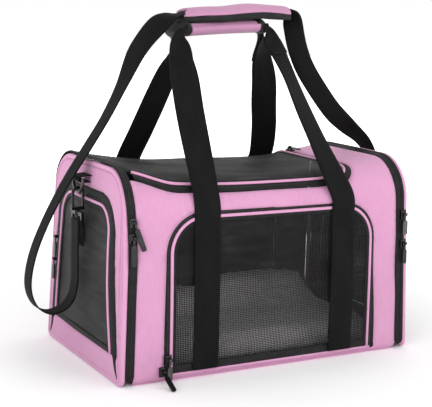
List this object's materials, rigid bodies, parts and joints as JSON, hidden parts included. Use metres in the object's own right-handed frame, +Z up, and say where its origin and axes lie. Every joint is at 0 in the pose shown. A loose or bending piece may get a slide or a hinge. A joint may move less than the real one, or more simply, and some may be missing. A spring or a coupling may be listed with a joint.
{
  "type": "soft-sided pet carrier bag",
  "caption": "Soft-sided pet carrier with zipped mesh doors on the front, top and ends, webbing carry handles joined by a wrap, and a padded clip-on shoulder strap.",
  "frame": {"origin": "middle of the underside of the base, on the floor", "axes": "+X along the length towards the right end, -Y the front, +Z up"},
  "size_m": [0.55, 0.2965, 0.4744],
  "materials": {
    "pink_fabric": "matte woven polyester",
    "black_webbing": "woven webbing",
    "black_fabric": "matte",
    "zip_tape": "coil zip tape",
    "mesh": "open mesh",
    "fleece": "plush fleece",
    "board": "stiff board",
    "black_plastic": "moulded",
    "gunmetal": "black nickel"
  },
  "bodies": {
    "shell": {"bottom_panel": "pink_fabric", "base_board": "board", "front_panel": "pink_fabric", "back_panel": "pink_fabric", "top_panel": "pink_fabric", "left_end_panel": "pink_fabric", "right_end_panel": "pink_fabric", "edge_pipings": "pink_fabric", "zip_tapes": "zip_tape", "ring_tabs": "black_webbing", "back_window_trim": "black_fabric", "back_window_mesh": "mesh", "back_sewn_straps": "black_webbing"},
    "bed": {"bed_pad": "fleece"},
    "front_door": {"front_door_mesh": "mesh", "front_door_trim": "pink_fabric", "front_sewn_straps": "black_webbing"},
    "top_door": {"top_door_mesh": "mesh", "top_door_trim": "pink_fabric"},
    "left_door": {"left_door_mesh": "mesh", "left_door_trim": "pink_fabric"},
    "right_door": {"right_door_mesh": "mesh", "right_door_trim": "pink_fabric"},
    "front_handle": {"front_handle_webbing": "black_webbing", "handle_wrap": "pink_fabric"},
    "wrap_flap": {"wrap_flap": "pink_fabric"},
    "back_handle": {"back_handle_webbing": "black_webbing"},
    "shoulder_strap": {"strap_webbing": "black_webbing", "shoulder_pad": "pink_fabric", "left_swivel_eye": "gunmetal", "right_swivel_eye": "gunmetal"},
    "strap_adjuster": {"strap_adjuster": "black_plastic"},
    "left_hook": {"left_hook": "gunmetal"},
    "right_hook": {"right_hook": "gunmetal"},
    "left_gate": {"left_gate": "gunmetal"},
    "right_gate": {"right_gate": "gunmetal"},
    "left_ring": {"left_ring": "gunmetal"},
    "right_ring": {"right_ring": "gunmetal"},
    "front_upper_slider": {"front_upper_slider": "gunmetal"},
    "front_upper_pull": {"front_upper_pull": "gunmetal"},
    "front_foot_slider": {"front_foot_slider": "gunmetal"},
    "front_foot_pull": {"front_foot_pull": "gunmetal"},
    "left_rim_upper_slider": {"left_rim_upper_slider": "gunmetal"},
    "left_rim_upper_pull": {"left_rim_upper_pull": "gunmetal"},
    "left_rim_lower_slider": {"left_rim_lower_slider": "gunmetal"},
    "left_rim_lower_pull": {"left_rim_lower_pull": "gunmetal"},
    "right_rim_upper_slider": {"right_rim_upper_slider": "gunmetal"},
    "right_rim_upper_pull": {"right_rim_upper_pull": "gunmetal"},
    "right_rim_lower_slider": {"right_rim_lower_slider": "gunmetal"},
    "right_rim_lower_pull": {"right_rim_lower_pull": "gunmetal"},
    "left_door_upper_slider": {"left_door_upper_slider": "gunmetal"},
    "left_door_upper_pull": {"left_door_upper_pull": "gunmetal"},
    "left_door_lower_slider": {"left_door_lower_slider": "gunmetal"},
    "left_door_lower_pull": {"left_door_lower_pull": "gunmetal"},
    "right_door_upper_slider": {"right_door_upper_slider": "gunmetal"},
    "right_door_upper_pull": {"right_door_upper_pull": "gunmetal"},
    "right_door_lower_slider": {"right_door_lower_slider": "gunmetal"},
    "right_door_lower_pull": {"right_door_lower_pull": "gunmetal"},
    "top_slider": {"top_slider": "gunmetal"},
    "top_pull": {"top_pull": "gunmetal"}
  },
  "joints": [
    {"name": "front_door_open", "type": "hinge", "parent": "shell", "child": "front_door", "pos_m": [0, -0.12721, 0.00687], "axis": [1, 0, 0], "range_deg": [0, 90]},
    {"name": "top_door_open", "type": "hinge", "parent": "shell", "child": "top_door", "pos_m": [0, 0.1108, 0.24491], "axis": [1, 0, 0], "range_deg": [-110, 0]},
    {"name": "front_handle_fold", "type": "hinge", "parent": "front_door", "child": "front_handle", "pos_m": [0, -0.12395, 0.197], "axis": [1, 0, 0], "range_deg": [0, 150], "deforming": ["front_handle_webbing"]},
    {"name": "back_handle_fold", "type": "hinge", "parent": "shell", "child": "back_handle", "pos_m": [0, 0.12395, 0.197], "axis": [1, 0, 0], "range_deg": [-150, 0], "deforming": ["back_handle_webbing"]},
    {"name": "wrap_flap_open", "type": "hinge", "parent": "front_handle", "child": "wrap_flap", "pos_m": [0, -0.03, 0.4476], "axis": [-1, 0, 0], "range_deg": [0, 110]},
    {"name": "left_door_open", "type": "hinge", "parent": "shell", "child": "left_door", "pos_m": [-0.21945, 0, 0.03583], "axis": [0, 1, 0], "range_deg": [0, 56]},
    {"name": "right_door_open", "type": "hinge", "parent": "shell", "child": "right_door", "pos_m": [0.21945, 0, 0.03583], "axis": [0, -1, 0], "range_deg": [0, 56]},
    {"name": "bed_lift", "type": "slide", "parent": "shell", "child": "bed", "axis": [0, 0, -1], "range_m": [-0.12, 0]},
    {"name": "shoulder_strap_swing", "type": "hinge", "parent": "shell", "child": "shoulder_strap", "pos_m": [0, 0, 0.228], "axis": [1, 0, 0], "range_deg": [-21, 21], "deforming": ["strap_webbing", "shoulder_pad"]},
    {"name": "strap_adjuster_slide", "type": "slide", "parent": "shoulder_strap", "child": "strap_adjuster", "axis": [0, 0, 1], "range_m": [-0.012, 0.012]},
    {"name": "left_hook_swivel", "type": "hinge", "parent": "shoulder_strap", "child": "left_hook", "pos_m": [-0.23, 0, 0.2], "axis": [0, 0, 1], "range_deg": [-9, 9]},
    {"name": "left_gate_open", "type": "hinge", "parent": "left_hook", "child": "left_gate", "pos_m": [-0.237, 0, 0.2108], "axis": [0, 1, 0], "range_deg": [0, 25], "stiffness_Nm_per_rad": 0.02, "springref_deg": -11.46},
    {"name": "left_ring_swing", "type": "hinge", "parent": "shell", "child": "left_ring", "pos_m": [-0.23, 0, 0.246], "axis": [0, 1, 0], "range_deg": [-3.5, 3.5]},
    {"name": "right_hook_swivel", "type": "hinge", "parent": "shoulder_strap", "child": "right_hook", "pos_m": [0.23, 0, 0.2], "axis": [0, 0, 1], "range_deg": [-9, 9]},
    {"name": "right_gate_open", "type": "hinge", "parent": "right_hook", "child": "right_gate", "pos_m": [0.237, 0, 0.2108], "axis": [0, -1, 0], "range_deg": [0, 25], "stiffness_Nm_per_rad": 0.02, "springref_deg": -11.46},
    {"name": "right_ring_swing", "type": "hinge", "parent": "shell", "child": "right_ring", "pos_m": [0.23, 0, 0.246], "axis": [0, 1, 0], "range_deg": [-3.5, 3.5]},
    {"name": "front_upper_slider_slide", "type": "slide", "parent": "front_door", "child": "front_upper_slider", "axis": [0, 0.0338, 0.9994], "range_m": [0, 0.125]},
    {"name": "front_foot_slider_slide", "type": "slide", "parent": "front_door", "child": "front_foot_slider", "axis": [0, 0.0338, 0.9994], "range_m": [-0.003, 0]},
    {"name": "left_rim_upper_slider_slide", "type": "slide", "parent": "shell", "child": "left_rim_upper_slider", "axis": [0, 0.0338, 0.9994], "range_m": [0, 0.004]},
    {"name": "left_rim_lower_slider_slide", "type": "slide", "parent": "shell", "child": "left_rim_lower_slider", "axis": [0, -0.0338, -0.9994], "range_m": [0, 0.165]},
    {"name": "right_rim_upper_slider_slide", "type": "slide", "parent": "shell", "child": "right_rim_upper_slider", "axis": [0, 0.0338, 0.9994], "range_m": [0, 0.018]},
    {"name": "right_rim_lower_slider_slide", "type": "slide", "parent": "shell", "child": "right_rim_lower_slider", "axis": [0, -0.0338, -0.9994], "range_m": [0, 0.13]},
    {"name": "left_door_upper_slider_slide", "type": "slide", "parent": "shell", "child": "left_door_upper_slider", "axis": [0.0293, -0.0863, 0.9958], "range_m": [0, 0.03]},
    {"name": "left_door_lower_slider_slide", "type": "slide", "parent": "shell", "child": "left_door_lower_slider", "axis": [-0.0293, 0.0863, -0.9958], "range_m": [0, 0.1]},
    {"name": "right_door_upper_slider_slide", "type": "slide", "parent": "shell", "child": "right_door_upper_slider", "axis": [-0.0293, -0.0863, 0.9958], "range_m": [0, 0.03]},
    {"name": "right_door_lower_slider_slide", "type": "slide", "parent": "shell", "child": "right_door_lower_slider", "axis": [0.0293, 0.0863, -0.9958], "range_m": [0, 0.1]},
    {"name": "top_slider_slide", "type": "slide", "parent": "top_door", "child": "top_slider", "axis": [0, -1, 0], "range_m": [0, 0.115]},
    {"name": "front_upper_pull_swing", "type": "hinge", "parent": "front_upper_slider", "child": "front_upper_pull", "pos_m": [-0.1578, -0.13461, 0.03044], "axis": [-1, 0, 0], "range_deg": [0, 100]},
    {"name": "front_foot_pull_swing", "type": "hinge", "parent": "front_foot_slider", "child": "front_foot_pull", "pos_m": [-0.1664, -0.13511, 0.01584], "axis": [-1, 0, 0], "range_deg": [0, 40]},
    {"name": "left_rim_upper_pull_swing", "type": "hinge", "parent": "left_rim_upper_slider", "child": "left_rim_upper_pull", "pos_m": [-0.2076, -0.1276, 0.2083], "axis": [-0.9304, 0, -0.3665], "range_deg": [0, 80]},
    {"name": "left_rim_lower_pull_swing", "type": "hinge", "parent": "left_rim_lower_slider", "child": "left_rim_lower_pull", "pos_m": [-0.208, -0.12824, 0.18931], "axis": [-1, 0, 0], "range_deg": [0, 100]},
    {"name": "right_rim_upper_pull_swing", "type": "hinge", "parent": "right_rim_upper_slider", "child": "right_rim_upper_pull", "pos_m": [0.2078, -0.1281, 0.19331], "axis": [-1, 0, 0], "range_deg": [0, 100]},
    {"name": "right_rim_lower_pull_swing", "type": "hinge", "parent": "right_rim_lower_slider", "child": "right_rim_lower_pull", "pos_m": [0.2086, -0.12949, 0.15233], "axis": [-1, 0, 0], "range_deg": [0, 100]},
    {"name": "left_door_upper_pull_swing", "type": "hinge", "parent": "left_door_upper_slider", "child": "left_door_upper_pull", "pos_m": [-0.22478, 0.09275, 0.15033], "axis": [0, 1, 0], "range_deg": [0, 100]},
    {"name": "left_door_lower_pull_swing", "type": "hinge", "parent": "left_door_lower_slider", "child": "left_door_lower_pull", "pos_m": [-0.22572, 0.09552, 0.11835], "axis": [0, 1, 0], "range_deg": [0, 100]},
    {"name": "right_door_upper_pull_swing", "type": "hinge", "parent": "right_door_upper_slider", "child": "right_door_upper_pull", "pos_m": [0.22478, 0.09275, 0.15033], "axis": [0, -1, 0], "range_deg": [0, 100]},
    {"name": "right_door_lower_pull_swing", "type": "hinge", "parent": "right_door_lower_slider", "child": "right_door_lower_pull", "pos_m": [0.22572, 0.09552, 0.11835], "axis": [0, -1, 0], "range_deg": [0, 100]},
    {"name": "top_pull_swing", "type": "hinge", "parent": "top_slider", "child": "top_pull", "pos_m": [0.1348, 0.0622, 0.2743], "axis": [-1, 0, 0], "range_deg": [0, 100]}
  ],
  "couplings": [
    {"joint": "front_handle_fold", "follows": "top_door_open", "ratio": -1.3636},
    {"joint": "back_handle_fold", "follows": "top_door_open", "ratio": 1.3636}
  ]
}
